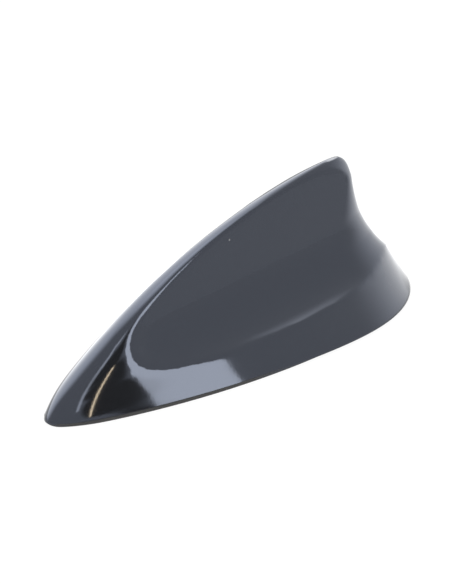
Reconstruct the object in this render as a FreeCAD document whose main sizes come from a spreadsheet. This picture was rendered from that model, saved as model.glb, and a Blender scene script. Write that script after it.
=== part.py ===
"""Shark-fin roof antenna: a painted fin cover over a cast base with its boards, seals, sockets and screws.

Millimetres. X runs to the rear of the car, Z up from the roof, and the origin is on the roof plane at the fixing
screw's axis. Every size is a cell of the sheet "dims".
"""
import FreeCAD
import Part

import math
import os

import Sketcher

SIZES = [
    ("nose_reach", 101.0, "fixing axis to the nose"),
    ("tail_reach", 80.0, "fixing axis to the tail"),
    ("cover_width", 68.0, "widest place of the foot"),
    ("fin_height", 60.0, "roof to the top of the fin"),
    ("ridge_rise", 1.3, "power that sets how steeply the ridge leaves the nose"),
    ("ridge_flow", 0.6, "power that sets how softly the ridge reaches the tip"),
    ("crown_rise", 0.837, "power that sets how the hull narrows above the foot"),
    ("crown_flow", 0.685, "power that sets how round the hull closes at the top"),
    ("tail_rake", 32.9, "run of the hull's rear from the foot to the tip"),
    ("rake_curve", 0.955, "power that bends the hull's rear"),
    ("tip_round", 1.8, "rounding of the tip's upper rear corner"),
    ("tip_flat", 1.0, "ridge end short of the tip"),
    ("skew_low", 0.71, "how far the foot's widest place lies to the rear"),
    ("skew_top", 0.25, "the same at the top of the fin"),
    ("blade_tip_width", 7.2, "thickness of the blade at the tip"),
    ("flank_draft", 12.1, "lean of the flat flanks, degrees"),
    ("flank_toe", 2.4, "flanks closing towards the nose, degrees"),
    ("flank_pitch", 3.55, "flanks and coves sinking towards the nose, degrees"),
    ("cove_radius", 24.2, "round hollow between flank and foot"),
    ("cove_height", 35.2, "where the cove starts below the tip"),
    ("trail_top", 1.8, "trailing edge behind the tip, at the top"),
    ("trail_middle", 9.4, "the same at half height"),
    ("trail_foot", 3.3, "trailing edge behind the tail, at the roof"),
    ("trail_round_top", 2.4, "rounding of the trailing edge at the top"),
    ("trail_round_low", 7.2, "the same at the cove and below"),
    ("cover_wall", 2.4, "wall of the cover"),
    ("tip_solid", 6.0, "cover left solid at the top of the fin"),
    ("seal_lip", 1.2, "rubber under the cover's edge"),
    ("lip_inset", 0.5, "rubber's edge inside the cover's edge"),
    ("seal_width", 9.5, "width of the rubber's flat ring"),
    ("slip_gap", 0.2, "clearance of pieces that slip together"),
    ("press_gap", 0.05, "clearance of pieces that are pressed or screwed together"),
    ("base_thick", 3.0, "floor of the cast base"),
    ("base_gap", 0.5, "cast base inside the cover"),
    ("spigot_length", 40.0, "spigot through the roof, along the car"),
    ("spigot_width", 22.0, "spigot across the car"),
    ("spigot_depth", 12.0, "spigot below the roof plane"),
    ("thread_bore", 5.0, "core of the M6 thread"),
    ("thread_boss", 12.0, "boss round the thread"),
    ("thread_boss_depth", 14.0, "boss below the roof plane"),
    ("thread_length", 14.4, "depth of the blind thread"),
    ("boss_radius", 3.0, "screw bosses of the cover"),
    ("boss_nose_gap", 22.0, "front boss behind the nose"),
    ("boss_tail_gap", 32.0, "rear bosses ahead of the tail"),
    ("boss_tail_edge", 19.0, "rear bosses inside the widest place"),
    ("screw_radius", 1.25, "cover screw's shank"),
    ("screw_length", 7.5, "cover screw under its head"),
    ("screw_head_radius", 2.4, "cover screw's head"),
    ("screw_head_height", 1.0, "cover screw's head"),
    ("screw_recess", 0.6, "depth of the key recess"),
    ("screw_key_radius", 1.2, "corner radius of the key recess"),
    ("screw_spare", 0.5, "bore beyond the screw's point"),
    ("earth_width", 3.0, "rim of the earth frame"),
    ("earth_thick", 0.6, "sheet of the earth frame"),
    ("hole_seal_width", 5.0, "rim of the seal round the spigot"),
    ("hole_seal_gap", 0.4, "earth frame to the seal"),
    ("post_height", 1.6, "posts under the main board"),
    ("post_radius", 2.4, "posts under the main board"),
    ("board_thick", 1.2, "main board"),
    ("board_width", 28.0, "main board"),
    ("board_nose_width", 18.0, "main board's front edge"),
    ("board_taper", 10.0, "main board's tapered front"),
    ("board_nose_gap", 32.0, "main board behind the nose"),
    ("board_tail_gap", 6.0, "main board ahead of the rear bosses' axes"),
    ("post_edge", 5.0, "posts from the board's ends"),
    ("post_rear_edge", 4.5, "rear posts from the board's sides"),
    ("patch_size", 18.0, "ceramic patch, square"),
    ("patch_thick", 4.0, "ceramic patch"),
    ("patch_gap", 10.0, "patch behind the board's front edge"),
    ("feed_offset", 2.0, "feed pin off the patch's middle"),
    ("feed_radius", 0.5, "feed pin"),
    ("feed_head_radius", 1.2, "solder head of the feed pin"),
    ("feed_head_height", 0.4, "solder head of the feed pin"),
    ("feed_tail", 0.4, "feed pin below the board"),
    ("can_width", 16.0, "shield can"),
    ("can_height", 3.4, "shield can"),
    ("can_wall", 0.4, "shield can's sheet"),
    ("can_gap", 3.0, "shield can to its neighbours"),
    ("chip_length", 5.0, "amplifier chips"),
    ("chip_width", 4.0, "amplifier chips"),
    ("chip_height", 1.0, "amplifier chips"),
    ("chip_row", 8.0, "chips off the middle"),
    ("chip_first", 4.0, "first pair of chips behind the fixing axis"),
    ("chip_pitch", 16.0, "second pair behind the first"),
    ("fin_board_thick", 1.0, "upright board in the fin"),
    ("fin_board_front", 8.0, "its front edge ahead of the fixing axis"),
    ("fin_board_rear", 8.0, "its rear edge ahead of the tip"),
    ("fin_board_gap", 1.6, "upright board to the cover's ceiling"),
    ("fin_tab_length", 5.0, "its two tabs through the main board"),
    ("fin_tab_edge", 7.0, "tabs from its ends"),
    ("fin_notch", 2.0, "notch over the socket's soldered pin"),
    ("radiator_thick", 0.3, "sheet radiator on the upright board"),
    ("radiator_margin", 3.0, "radiator inside the board's edge"),
    ("radiator_slot", 1.6, "slots that fold the radiator"),
    ("socket_offset", 14.6, "socket behind the fixing axis"),
    ("socket_width", 12.4, "socket housing, square"),
    ("socket_round", 1.5, "socket housing's corners"),
    ("socket_depth", 10.8, "socket housing below the roof plane"),
    ("socket_flange", 1.2, "housing's flange beyond its sides"),
    ("socket_bore", 4.35, "radius of the plug's way in"),
    ("socket_reach", 9.0, "depth of the plug's way in"),
    ("socket_key", 1.2, "keyway of the plug's way in"),
    ("barrel_radius", 2.3, "outer contact"),
    ("barrel_wall", 0.4, "outer contact"),
    ("barrel_recess", 1.4, "outer contact inside the housing's mouth"),
    ("insulator_recess", 5.0, "insulator inside the outer contact"),
    ("pin_radius", 0.45, "inner contact"),
    ("pin_recess", 1.0, "inner contact inside the outer one"),
    ("pin_tail", 0.4, "inner contact above the board"),
]

EGG_POINTS = 16
FACETS = 28
HULL_LEVELS = 9
CAVITY_LEVELS = 5
ARC_ERROR = 0.15
TOP_SHARE = 0.998
TIP_POWER = 30
INSET_RISE = 0.8
INSET_RUN = 0.6
CORNER_SHARE = 0.45
MARGIN = 20.0

doc = FreeCAD.newDocument("roof_antenna")
dims = doc.addObject("Spreadsheet::Sheet", "dims")
for row, (alias, number, meaning) in enumerate(SIZES, start=1):
    dims.set("A%d" % row, meaning)
    dims.set("B%d" % row, str(number))
    dims.setAlias("B%d" % row, alias)
doc.recompute()


def worth(formula):
    """The number that a formula on the sheet gives now."""
    return float(dims.evalExpression(formula))


def size(alias):
    return float(dims.get(alias))


# Places that several pieces share, as formulas on the sheet.
TIP_X = "(dims.tail_reach - dims.tail_rake)"
PLATE_TOP = "(dims.seal_lip + dims.base_thick)"
BOARD_LOW = "(dims.seal_lip + dims.base_thick + dims.post_height)"
BOARD_TOP = "(dims.seal_lip + dims.base_thick + dims.post_height + dims.board_thick)"
BOARD_FRONT = "(dims.board_nose_gap - dims.nose_reach)"
BOARD_REAR = "(dims.tail_reach - dims.boss_tail_gap - dims.board_tail_gap)"
PATCH_X = "(dims.board_nose_gap - dims.nose_reach + dims.patch_gap + dims.patch_size / 2)"
FIN_FRONT = "(-dims.fin_board_front)"
FIN_REAR = "(dims.tail_reach - dims.tail_rake - dims.fin_board_rear)"
SOCKET_X = "dims.socket_offset"
SPIGOT_X = "dims.socket_offset / 2"

BOSSES = [("dims.boss_nose_gap - dims.nose_reach", "0")]
POSTS = [(BOARD_FRONT + " + dims.post_edge", "0")]
for side in ("", "-"):
    BOSSES.append(("dims.tail_reach - dims.boss_tail_gap", side + "(dims.cover_width / 2 - dims.boss_tail_edge)"))
    POSTS.append((BOARD_REAR + " - dims.post_edge", side + "(dims.board_width / 2 - dims.post_rear_edge)"))

FIN_TABS = [FIN_FRONT + " + dims.fin_tab_edge", FIN_REAR + " - dims.fin_tab_edge - dims.fin_tab_length"]


def bind(thing, formulas):
    for target, formula in formulas.items():
        thing.setExpression(target, formula)
    return thing


def place(thing, x="0", y="0", z="0"):
    return bind(thing, {"Placement.Base.x": x, "Placement.Base.y": y, "Placement.Base.z": z})


def cylinder(name, radius, low, high, x="0", y="0"):
    thing = doc.addObject("Part::Cylinder", name)
    bind(thing, {"Radius": radius, "Height": "(%s) - (%s)" % (high, low)})
    return place(thing, x, y, low)


def block(name, length, width, low, high, x="0", y="0"):
    """A box centred on x and y."""
    thing = doc.addObject("Part::Box", name)
    bind(thing, {"Length": length, "Width": width, "Height": "(%s) - (%s)" % (high, low)})
    return place(thing, "(%s) - (%s) / 2" % (x, length), "(%s) - (%s) / 2" % (y, width), low)


def fuse(name, pieces):
    thing = doc.addObject("Part::MultiFuse", name)
    thing.Shapes = pieces
    return thing


def cut(name, base, tool):
    thing = doc.addObject("Part::Cut", name)
    thing.Base = base
    thing.Tool = tool
    return thing


def common(name, one, other):
    thing = doc.addObject("Part::MultiCommon", name)
    thing.Shapes = [one, other]
    return thing


def form(name, shape):
    """A free form that the other tools can't draw."""
    thing = doc.addObject("Part::Feature", name)
    thing.Shape = shape
    return thing


def new_sketch(body, name, plane, height="0"):
    sketch = body.newObject("Sketcher::SketchObject", name)
    support = next(f for f in body.Origin.OriginFeatures if f.Role == plane)
    sketch.AttachmentSupport = (support, [""])
    sketch.MapMode = "FlatFace"
    sketch.setExpression("AttachmentOffset.Base.z", height)
    return sketch


def pin_point(sketch, piece, end, across, up):
    """Holds one end of a sketch line or arc at two formulas from the sketch's origin."""
    for kind, axis, formula in (("DistanceX", -2, across), ("DistanceY", -1, up)):
        if formula == "0":
            sketch.addConstraint(Sketcher.Constraint("PointOnObject", piece, end, axis))
        else:
            row = sketch.addConstraint(Sketcher.Constraint(kind, -1, 1, piece, end, worth(formula)))
            sketch.setExpression("Constraints[%d]" % row, formula)


def polygon(body, name, plane, corners, height="0"):
    """A closed outline of straight lines, each corner held by two formulas."""
    sketch = new_sketch(body, name, plane, height)
    points = [FreeCAD.Vector(worth(across), worth(up), 0) for across, up in corners]
    for start, end in zip(points, points[1:] + points[:1]):
        sketch.addGeometry(Part.LineSegment(start, end))
    for line, (across, up) in enumerate(corners):
        sketch.addConstraint(Sketcher.Constraint("Coincident", (line - 1) % len(corners), 2, line, 1))
        pin_point(sketch, line, 1, across, up)
    return sketch


def pad(body, sketch, length, both_ways=False):
    thing = body.newObject("PartDesign::Pad", sketch.Name + "_pad")
    thing.Profile = sketch
    thing.setExpression("Length", length)
    thing.Midplane = both_ways
    return thing


def turned(name, profile):
    """A body turned from a profile of radius and height."""
    body = doc.addObject("PartDesign::Body", name)
    sketch = polygon(body, name + "_profile", "XZ_Plane", profile)
    spin = body.newObject("PartDesign::Revolution", name + "_turn")
    spin.Profile = sketch
    spin.ReferenceAxis = (sketch, ["V_Axis"])
    spin.Angle = 360
    return body


def rounded_block(name, length, width, low, high, radius, x="0", y="0"):
    """A block with its four upright edges rounded."""
    body = doc.addObject("PartDesign::Body", name)
    ends = ("-(%s) / 2" % length, "(%s) / 2" % length)
    sides = ("-(%s) / 2" % width, "(%s) / 2" % width)
    corners = [(ends[0], sides[0]), (ends[1], sides[0]), (ends[1], sides[1]), (ends[0], sides[1])]
    solid = pad(body, polygon(body, name + "_outline", "XY_Plane", corners), "(%s) - (%s)" % (high, low))
    doc.recompute()
    upright = ["Edge%d" % (i + 1) for i, e in enumerate(solid.Shape.Edges) if abs(e.tangentAt(e.FirstParameter).z) > 0.9]
    rounds = body.newObject("PartDesign::Fillet", name + "_rounds")
    rounds.Base = (solid, upright)
    rounds.setExpression("Radius", radius)
    place(body, x, y, low)
    return body


def stadium(name, length, width, low, high, x):
    """A slot shape with round ends, along X."""
    middle = block(name + "_middle", "(%s) - (%s)" % (length, width), width, low, high, x)
    ends = []
    for end, sign in (("front", "-"), ("rear", "+")):
        centre = "%s %s ((%s) - (%s)) / 2" % (x, sign, length, width)
        ends.append(cylinder("%s_%s" % (name, end), "(%s) / 2" % width, low, high, centre))
    return fuse(name, [middle] + ends)


def copies(name, model, places, z):
    """One group of separate solids: a model linked to each place."""
    links = []
    for number, (x, y) in enumerate(places, start=1):
        link = doc.addObject("App::Link", "%s_%d" % (name, number))
        link.LinkedObject = model
        links.append(place(link, x, y, z))
    group = doc.addObject("Part::Compound", name)
    group.Links = links
    return group


# The fin: a hull with an egg-shaped plan, cut down to a thin blade with coved flanks.

def hull_height():
    return size("fin_height") - size("seal_lip")


def height_share(z):
    """How far a height is up the hull, from the cover's lower edge to the top."""
    return min(max((z - size("seal_lip")) / hull_height(), 0.0), 1.0)


def ridge_run():
    return size("nose_reach") + worth(TIP_X) - size("tip_flat")


def hull_level(z, inset):
    """Front, rear, half width and skew of the hull's plan at one height, moved inwards by a wall."""
    share = height_share(z + INSET_RISE * inset)
    front = ridge_run() * (1 - (1 - share ** size("ridge_rise")) ** size("ridge_flow"))
    front += INSET_RUN * inset - size("nose_reach")
    rear = size("tail_reach") - inset - size("tail_rake") * share ** size("rake_curve")
    rear -= size("tip_round") * (1 - math.sqrt(1 - share ** TIP_POWER))
    half = size("cover_width") / 2 * (1 - share ** size("crown_rise")) ** size("crown_flow") - inset
    return front, rear, half, size("skew_low") * (1 - share) + size("skew_top") * share


def egg_points(z, front, rear, half, skew, count):
    """Points round the hull's plan, an oval whose widest place is pushed to the rear."""
    lean = skew / 2
    widest = (1 - math.sqrt(1 + 8 * lean ** 2)) / (4 * lean)
    full = math.sqrt(1 - widest ** 2) * (1 - lean * widest)
    points = []
    for step in range(count):
        turn = 2 * math.pi * step / count
        x = front + (rear - front) * (1 + math.cos(turn)) / 2
        y = half * math.sin(turn) * (1 + lean * math.cos(turn)) / full
        points.append(FreeCAD.Vector(x, y, z))
    return points


def egg(z, *plan):
    """The hull's plan as one smooth curve, for what is seen."""
    curve = Part.BSplineCurve()
    shared = [step / EGG_POINTS for step in range(EGG_POINTS + 1)]
    curve.interpolate(Points=egg_points(z, *plan, EGG_POINTS), PeriodicFlag=True, Parameters=shared)
    return Part.Wire([curve.toShape()])


def faceted_egg(z, *plan):
    """The hull's plan with straight sides, for what is hidden inside."""
    points = egg_points(z, *plan, FACETS)
    return Part.makePolygon(points + points[:1])


def crowded(bottom, top, count):
    """Heights that crowd towards the top, where the ridge flattens."""
    low, high = (math.sqrt(1 - height_share(z)) for z in (bottom, top))
    inner = [low + (high - low) * step / (count - 1) for step in range(1, count - 1)]
    return [bottom] + [size("seal_lip") + hull_height() * (1 - gap ** 2) for gap in inner] + [top]


def hull(levels, inset, faceted):
    outline = faceted_egg if faceted else egg
    return Part.makeLoft([outline(z, *hull_level(z, inset)) for z in levels], True, faceted, False)


def slab(plan, inset, low, high, faceted):
    """A flat slab with one of the hull's plans, moved inwards."""
    front, rear, half, skew = plan
    moved = (front + inset, rear - inset, half - inset, skew)
    if faceted:
        wire = faceted_egg(low, *moved)
    else:
        wire = Part.Wire([arc.toShape() for arc in egg(low, *moved).Edges[0].Curve.toBiArcs(ARC_ERROR)])
    return Part.Face(wire).extrude(FreeCAD.Vector(0, 0, high - low))


def flank_cutter(name, wall):
    """What is taken off one side of the hull: a flat flank above a round cove, run along the car.

    The wall is a formula for how far the profile is moved into the fin.
    """
    lean = "dims.flank_draft"
    top = "(dims.fin_height + %g)" % MARGIN
    out = "(dims.cover_width + dims.cove_radius)"
    drop = "(dims.cove_height - (%s) * sin(%s))" % (wall, lean)
    thin = "(dims.blade_tip_width / 2 - (%s) / cos(%s))" % (wall, lean)
    start = "(%s + tan(%s) * (dims.fin_height - %s))" % (thin, lean, drop)
    radius = "(dims.cove_radius + %s)" % wall
    middle = ("(%s + %s * cos(%s))" % (start, radius, lean), "(%s + %s * sin(%s))" % (drop, radius, lean))
    foot = (middle[0], "(%s - %s)" % (middle[1], radius))
    corners = [("(%s - tan(%s) * %g)" % (thin, lean, MARGIN), top), (start, drop), foot, (out, foot[1]), (out, top)]
    points = [FreeCAD.Vector(worth(across), worth(up), 0) for across, up in corners]
    centre = FreeCAD.Vector(worth(middle[0]), worth(middle[1]), 0)
    circle = Part.Circle(centre, FreeCAD.Vector(0, 0, 1), worth(radius))
    body = doc.addObject("PartDesign::Body", name)
    sketch = new_sketch(body, name + "_profile", "YZ_Plane")
    sketch.addGeometry(Part.LineSegment(points[0], points[1]))
    sketch.addGeometry(Part.ArcOfCircle(circle, math.pi + math.radians(size("flank_draft")), math.pi * 1.5))
    for first, last in ((2, 3), (3, 4), (4, 0)):
        sketch.addGeometry(Part.LineSegment(points[first], points[last]))
    for piece in range(5):
        sketch.addConstraint(Sketcher.Constraint("Coincident", piece, 2, (piece + 1) % 5, 1))
    pin_point(sketch, 1, 3, *middle)
    for piece in (0, 2, 3, 4):
        pin_point(sketch, piece, 1, *corners[piece])
    row = sketch.addConstraint(Sketcher.Constraint("DistanceY", -1, 1, 1, 1, worth(drop)))
    sketch.setExpression("Constraints[%d]" % row, drop)
    pad(body, sketch, "(dims.nose_reach + dims.tail_reach) * 3", True)
    body.setExpression("Placement", "create(<<placement>>; create(<<vector>>; %s; 0; 0); "
                       "create(<<rotation>>; dims.flank_toe; -dims.flank_pitch; 0))" % TIP_X)
    return body


def rear_cutter(name, top, middle, foot):
    """What is taken off behind the blade: everything past an arc through three places of the trailing edge."""
    far = "(dims.tail_reach + dims.trail_foot + %g)" % MARGIN
    corners = [(foot, "0"), (far, "0"), (far, "dims.fin_height"), (top, "dims.fin_height")]
    points = [FreeCAD.Vector(worth(across), worth(up), 0) for across, up in corners]
    waist = FreeCAD.Vector(worth(middle), size("fin_height") / 2, 0)
    body = doc.addObject("PartDesign::Body", name)
    sketch = new_sketch(body, name + "_profile", "XZ_Plane")
    for first, last in zip(points, points[1:]):
        sketch.addGeometry(Part.LineSegment(first, last))
    sketch.addGeometry(Part.Arc(points[3], waist, points[0]))
    spot = sketch.addGeometry(Part.Point(waist), True)
    for piece in range(2):
        sketch.addConstraint(Sketcher.Constraint("Coincident", piece, 2, piece + 1, 1))
    for piece in range(3):
        pin_point(sketch, piece, 1, *corners[piece])
    pin_point(sketch, 2, 2, *corners[3])
    arc_ends = (1, 2) if sketch.Geometry[3].StartPoint.y > sketch.Geometry[3].EndPoint.y else (2, 1)
    sketch.addConstraint(Sketcher.Constraint("Coincident", 3, arc_ends[0], 2, 2))
    sketch.addConstraint(Sketcher.Constraint("Coincident", 3, arc_ends[1], 0, 1))
    pin_point(sketch, spot, 1, middle, "dims.fin_height / 2")
    sketch.addConstraint(Sketcher.Constraint("PointOnObject", spot, 1, 3))
    pad(body, sketch, "dims.cover_width * 3", True)
    return body


def blade(name, wall, rear):
    """The blade with its coves, wider than the hull everywhere else."""
    length = "(dims.nose_reach + dims.tail_reach + dims.trail_foot + %g)" % (MARGIN * 2)
    across = "(dims.cover_width + dims.cove_radius)"
    whole = block(name + "_block", length, across, "0", "dims.fin_height",
                  "(dims.tail_reach + dims.trail_foot - dims.nose_reach) / 2")
    right = flank_cutter(name + "_right_flank", wall)
    left = doc.addObject("Part::Mirroring", name + "_left_flank")
    left.Source = right
    left.Normal = FreeCAD.Vector(0, 1, 0)
    return cut(name, whole, fuse(name + "_waste", [right, left, rear]))


hull_form = form("hull_form", hull(crowded(size("seal_lip"), size("fin_height") * TOP_SHARE, HULL_LEVELS), 0.0, False))
trail = [TIP_X + " + dims.trail_top", TIP_X + " + dims.trail_middle", "dims.tail_reach + dims.trail_foot"]
sharp_blade = blade("sharp_blade", "0", rear_cutter("rear_waste", *trail))
doc.recompute()
round_blade = doc.addObject("Part::Fillet", "round_blade")
round_blade.Base = sharp_blade
rear_edges = []
for number, edge in enumerate(sharp_blade.Shape.Edges, start=1):
    ends = [edge.valueAt(edge.FirstParameter), edge.valueAt(edge.LastParameter)]
    falls = min(p.z for p in ends) < size("fin_height") - size("tip_solid")
    if falls and max(p.z for p in ends) > size("fin_height") * TOP_SHARE and min(p.x for p in ends) > worth(TIP_X):
        radii = [size("trail_round_top") if p.z > size("cove_height") * 1.1 else size("trail_round_low") for p in ends]
        rear_edges.append((number, radii[0], radii[1]))
round_blade.Edges = rear_edges
fin_form = common("fin_form", hull_form, round_blade)

# The cavity: the same hull and blade moved in by the wall, less the screw bosses.

cavity_top = size("fin_height") - size("tip_solid")
cavity_levels = [0.0] + crowded(worth(PLATE_TOP), cavity_top, CAVITY_LEVELS)
cavity_hull = form("cavity_hull", hull(cavity_levels, size("cover_wall"), True))
inner_trail = [trail[0] + " - dims.cover_wall - %g * dims.trail_round_top" % CORNER_SHARE,
               trail[1] + " - dims.cover_wall - %g * dims.trail_round_low" % CORNER_SHARE, trail[2]]
cavity_blade = blade("cavity_blade", "dims.cover_wall", rear_cutter("cavity_rear_waste", *inner_trail))
cavity = common("cavity", cavity_hull, cavity_blade)
boss_top = "dims.fin_height"
bosses = fuse("bosses", [cylinder("boss_%d" % i, "dims.boss_radius", PLATE_TOP, boss_top, x, y)
                         for i, (x, y) in enumerate(BOSSES, start=1)])
SCREW_END = "(dims.seal_lip + dims.screw_length)"
pilots = fuse("pilots", [cylinder("pilot_%d" % i, "dims.screw_radius + dims.press_gap", PLATE_TOP + " - dims.screw_spare",
                                  SCREW_END + " + dims.screw_spare", x, y)
                         for i, (x, y) in enumerate(BOSSES, start=1)])
fin_cover = cut("fin_cover", cut("fin_shell", fin_form, cut("hollow", cavity, bosses)), pilots)

# The rubber round the rim and the cast base, which follow the plan of the cover's lower edge.

lip = size("seal_lip")
edge_plan = hull_level(lip, 0.0)
inside_plan = hull_level(lip + size("base_thick"), size("cover_wall"))
ring = slab(edge_plan, size("lip_inset"), 0.0, lip, False)
rim_seal = form("rim_seal", ring.cut(slab(edge_plan, size("seal_width"), 0.0, lip, True)))

floor = form("floor", slab(inside_plan, size("base_gap"), lip, lip + size("base_thick"), True))
posts = []
for number, (x, y) in enumerate(POSTS, start=1):
    posts.append(cylinder("post_%d" % number, "dims.post_radius", "dims.seal_lip + dims.base_thick / 2", BOARD_LOW, x, y))
floor_ways = []
for number, (x, y) in enumerate(BOSSES, start=1):
    floor_ways.append(cylinder("screw_way_%d" % number, "dims.screw_radius + dims.slip_gap",
                               "dims.seal_lip - dims.screw_spare", PLATE_TOP + " + dims.screw_spare", x, y))
way_width = "dims.socket_width + 2 * dims.slip_gap"
socket_way = rounded_block("socket_way", way_width, way_width, "-dims.spigot_depth - dims.screw_spare", BOARD_TOP,
                           "dims.socket_round + dims.slip_gap", SOCKET_X)
base_plate = cut("base_plate", fuse("casting", [floor] + posts), fuse("floor_holes", floor_ways + [socket_way]))

# The spigot that fills the hole in the roof and takes the fixing screw.

spigot_block = stadium("spigot_block", "dims.spigot_length", "dims.spigot_width", "-dims.spigot_depth", "dims.seal_lip", SPIGOT_X)
thread_boss = cylinder("thread_boss_body", "dims.thread_boss / 2", "-dims.thread_boss_depth", "dims.seal_lip / 2")
thread = cylinder("thread", "dims.thread_bore / 2", "-dims.thread_boss_depth - dims.screw_spare",
                  "dims.thread_length - dims.thread_boss_depth")
roof_spigot = cut("roof_spigot", fuse("spigot_solid", [spigot_block, thread_boss]), fuse("spigot_holes", [thread, socket_way]))

# The earth frame that bites into the roof, and the seal round the hole.

def ring_width(inner):
    """The two sizes of a stadium that lies outside the spigot by a formula."""
    return "dims.spigot_length + 2 * (%s)" % inner, "dims.spigot_width + 2 * (%s)" % inner


earth_out = "dims.slip_gap + dims.earth_width"
earth_sheet = stadium("earth_sheet", *ring_width(earth_out), "dims.seal_lip - dims.earth_thick", "dims.seal_lip", SPIGOT_X)
earth_hole = stadium("earth_hole", *ring_width("dims.slip_gap"), "0", "dims.seal_lip + dims.slip_gap", SPIGOT_X)
earth_frame = cut("earth_frame", earth_sheet, earth_hole)
seal_in = earth_out + " + dims.hole_seal_gap"
seal_out = seal_in + " + dims.hole_seal_width"
hole_seal_body = stadium("hole_seal_body", *ring_width(seal_out), "0", "dims.seal_lip", SPIGOT_X)
hole_seal_way = stadium("hole_seal_way", *ring_width(seal_in), "-dims.slip_gap", "dims.seal_lip + dims.slip_gap", SPIGOT_X)
hole_seal = cut("hole_seal", hole_seal_body, hole_seal_way)

# One cover screw is modelled, and the group holds copies of it.

cover_screw = turned("cover_screw", [
    ("0", "-dims.screw_head_height"), ("dims.screw_head_radius", "-dims.screw_head_height"),
    ("dims.screw_head_radius", "0"), ("dims.screw_radius", "0"), ("dims.screw_radius", "dims.screw_length"),
    ("0", "dims.screw_length")])
key_corners = [("dims.screw_key_radius * cos(%d)" % turn, "dims.screw_key_radius * sin(%d)" % turn)
               for turn in range(15, 375, 60)]
key_outline = polygon(cover_screw, "key_outline", "XY_Plane", key_corners, "-dims.screw_head_height")
key_recess = cover_screw.newObject("PartDesign::Pocket", "key_recess")
key_recess.Profile = key_outline
key_recess.setExpression("Length", "dims.screw_recess")
key_recess.Reversed = True
cover_screws = copies("cover_screws", cover_screw, BOSSES, "dims.seal_lip")

# The main board and what stands on it.

half_board = "dims.board_width / 2"
half_nose = "dims.board_nose_width / 2"
board_body = doc.addObject("PartDesign::Body", "board_body")
board_outline = polygon(board_body, "board_outline", "XY_Plane", [
    (BOARD_FRONT, "-" + half_nose), (BOARD_FRONT + " + dims.board_taper", "-" + half_board),
    (BOARD_REAR, "-" + half_board), (BOARD_REAR, half_board),
    (BOARD_FRONT + " + dims.board_taper", half_board), (BOARD_FRONT, half_nose)], BOARD_LOW)
pad(board_body, board_outline, "dims.board_thick")
ways = [cylinder("pin_way", "dims.pin_radius + dims.press_gap", PLATE_TOP, BOARD_TOP + " + dims.slip_gap", SOCKET_X)]
FEED_X = PATCH_X + " + dims.feed_offset"
ways.append(cylinder("feed_way", "dims.feed_radius + dims.press_gap", PLATE_TOP, BOARD_TOP + " + dims.slip_gap", FEED_X))
for number, tab in enumerate(FIN_TABS, start=1):
    ways.append(block("tab_way_%d" % number, "dims.fin_tab_length + 2 * dims.press_gap",
                      "dims.fin_board_thick + 2 * dims.press_gap", PLATE_TOP, BOARD_TOP + " + dims.slip_gap",
                      tab + " + dims.fin_tab_length / 2"))
main_board = cut("main_board", board_body, fuse("board_ways", ways))

PATCH_TOP = BOARD_TOP + " + dims.patch_thick"
patch_body = block("patch_body", "dims.patch_size", "dims.patch_size", BOARD_TOP, PATCH_TOP, PATCH_X)
patch_antenna = cut("patch_antenna", patch_body, cylinder("patch_way", "dims.feed_radius + dims.press_gap",
                    BOARD_LOW, PATCH_TOP + " + dims.slip_gap", FEED_X))
feed_low = "(-dims.patch_thick - dims.board_thick - dims.feed_tail)"
patch_feed_pin = turned("patch_feed_pin", [
    ("0", feed_low), ("dims.feed_radius", feed_low), ("dims.feed_radius", "0"), ("dims.feed_head_radius", "0"),
    ("dims.feed_head_radius", "dims.feed_head_height"), ("0", "dims.feed_head_height")])
place(patch_feed_pin, FEED_X, "0", PATCH_TOP)

can_front = PATCH_X + " + dims.patch_size / 2 + dims.can_gap"
can_rear = FIN_FRONT + " - dims.can_gap"
can_length = "((%s) - (%s))" % (can_rear, can_front)
can_x = "((%s) + (%s)) / 2" % (can_rear, can_front)
CAN_TOP = BOARD_TOP + " + dims.can_height"
can_body = block("can_body", can_length, "dims.can_width", BOARD_TOP, CAN_TOP, can_x)
can_room = block("can_room", can_length + " - 2 * dims.can_wall", "dims.can_width - 2 * dims.can_wall", BOARD_LOW,
                 CAN_TOP + " - dims.can_wall", can_x)
shield_can = cut("shield_can", can_body, can_room)

chip = doc.addObject("Part::Box", "chip")
bind(chip, {"Length": "dims.chip_length", "Width": "dims.chip_width", "Height": "dims.chip_height"})
chip_places = [("dims.chip_first + %d * dims.chip_pitch" % step, "%sdims.chip_row - dims.chip_width / 2" % side)
               for step in (0, 1) for side in ("", "-")]
amplifier_chips = copies("amplifier_chips", chip, chip_places, BOARD_TOP)

# The upright board follows the cavity's ridge, with a folded sheet radiator on one face.

def ridge_height(x):
    """Height of the hull's ridge above one place along the car."""
    share = (x + size("nose_reach")) / ridge_run()
    return size("seal_lip") + hull_height() * (1 - (1 - share) ** (1 / size("ridge_flow"))) ** (1 / size("ridge_rise"))


def ceiling_place(z):
    """Where the cavity's ridge reaches one height."""
    return hull_level(z, size("cover_wall"))[0]


def upright(points, low_y, high_y):
    face = Part.Face(Part.makePolygon([FreeCAD.Vector(x, low_y, z) for x, z in points + points[:1]]))
    return face.extrude(FreeCAD.Vector(0, high_y - low_y, 0))


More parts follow.
